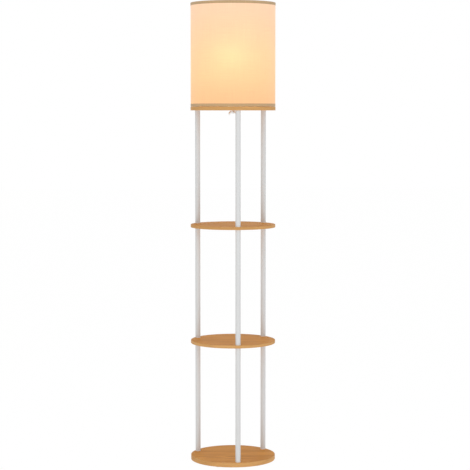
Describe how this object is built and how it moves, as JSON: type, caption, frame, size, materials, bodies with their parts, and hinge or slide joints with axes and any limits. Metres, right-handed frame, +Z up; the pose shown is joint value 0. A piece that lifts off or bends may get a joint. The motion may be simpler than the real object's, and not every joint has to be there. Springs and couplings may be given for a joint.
{
  "type": "shelf floor lamp",
  "caption": "Tall floor lamp with round open shelves between tubular poles and a lit drum shade on the top board",
  "frame": {"origin": "centre of the footprint, on the floor", "axes": "+Z up; -Y to the front, where the pole that carries the lead stands; +X to the right seen from the front"},
  "size_m": [0.298, 0.298, 1.6125],
  "materials": {
    "foot_foam": "matt closed-cell foam",
    "wood_veneer": "satin lacquered warm brown veneer",
    "wood_edge": "satin lacquered veneer edging",
    "pole_paint": "white powder coat, satin",
    "white_nylon": "moulded nylon",
    "zinc_steel": "zinc plated",
    "white_plastic": "semi-gloss moulded plastic",
    "ceramic": "unglazed porcelain",
    "brass": "plain stamped brass",
    "shade_cloth": "woven polycotton, cream",
    "shade_lining": "translucent PVC shade liner",
    "shade_tape": "woven taupe binding tape",
    "shade_wire": "white coated steel wire",
    "bulb_globe": "opal diffuser",
    "bulb_shell": "white moulded bulb body",
    "bulb_cap_metal": "rolled nickel-plated cap",
    "bulb_insulator": "black vitreous insulator",
    "led_board": "white solder-masked board",
    "lead_sheath": "white PVC cable sheath",
    "copper_core": "bare copper strands"
  },
  "bodies": {
    "lamp": {"foot_pads": "foot_foam", "base_board": "wood_veneer", "shelf_lower": "wood_veneer", "shelf_upper": "wood_veneer", "top_board": "wood_veneer", "base_edge_band": "wood_edge", "shelf_lower_edge_band": "wood_edge", "shelf_upper_edge_band": "wood_edge", "top_edge_band": "wood_edge", "pole_lower_front": "pole_paint", "pole_lower_right": "pole_paint", "pole_lower_left": "pole_paint", "pole_bushes_lower": "white_nylon", "pole_middle_front": "pole_paint", "pole_middle_right": "pole_paint", "pole_middle_left": "pole_paint", "pole_bushes_middle": "white_nylon", "pole_upper_front": "pole_paint", "pole_upper_right": "pole_paint", "pole_upper_left": "pole_paint", "pole_bushes_upper": "white_nylon", "joint_nipples_lower": "zinc_steel", "joint_nipples_upper": "zinc_steel", "base_bolts": "zinc_steel", "base_washers": "zinc_steel", "top_bolts": "zinc_steel", "top_washers": "zinc_steel", "stem_lock_washer": "zinc_steel", "stem_locknut": "zinc_steel", "stem_nipple": "zinc_steel", "lead_grommet": "white_plastic", "outlet_grommet": "white_plastic", "lead_cap": "white_plastic", "lead_clip": "white_plastic", "stem_canopy": "pole_paint", "stem_tube": "pole_paint", "holder_cap": "white_plastic", "holder_body": "white_plastic", "shade_ring": "white_plastic", "terminal_block": "ceramic", "terminal_screws": "brass", "screw_shell": "brass", "centre_contact": "brass", "shade_fabric": "shade_cloth", "shade_lining": "shade_lining", "shade_tape_bottom": "shade_tape", "shade_tape_top": "shade_tape", "shade_top_hoop": "shade_wire", "shade_frame": "shade_wire", "lead_tail": "lead_sheath", "lead_loop": "lead_sheath", "lead_riser": "lead_sheath", "lead_cores": "copper_core"},
    "bulb": {"bulb_globe": "bulb_globe", "bulb_body": "bulb_shell", "bulb_cap": "bulb_cap_metal", "bulb_insulator": "bulb_insulator", "bulb_tip": "bulb_cap_metal", "bulb_led_board": "led_board"}
  },
  "joints": [
    {"name": "bulb_unscrew", "type": "slide", "parent": "lamp", "child": "bulb", "axis": [0, 0, 1], "range_m": [0, 0.028]}
  ]
}
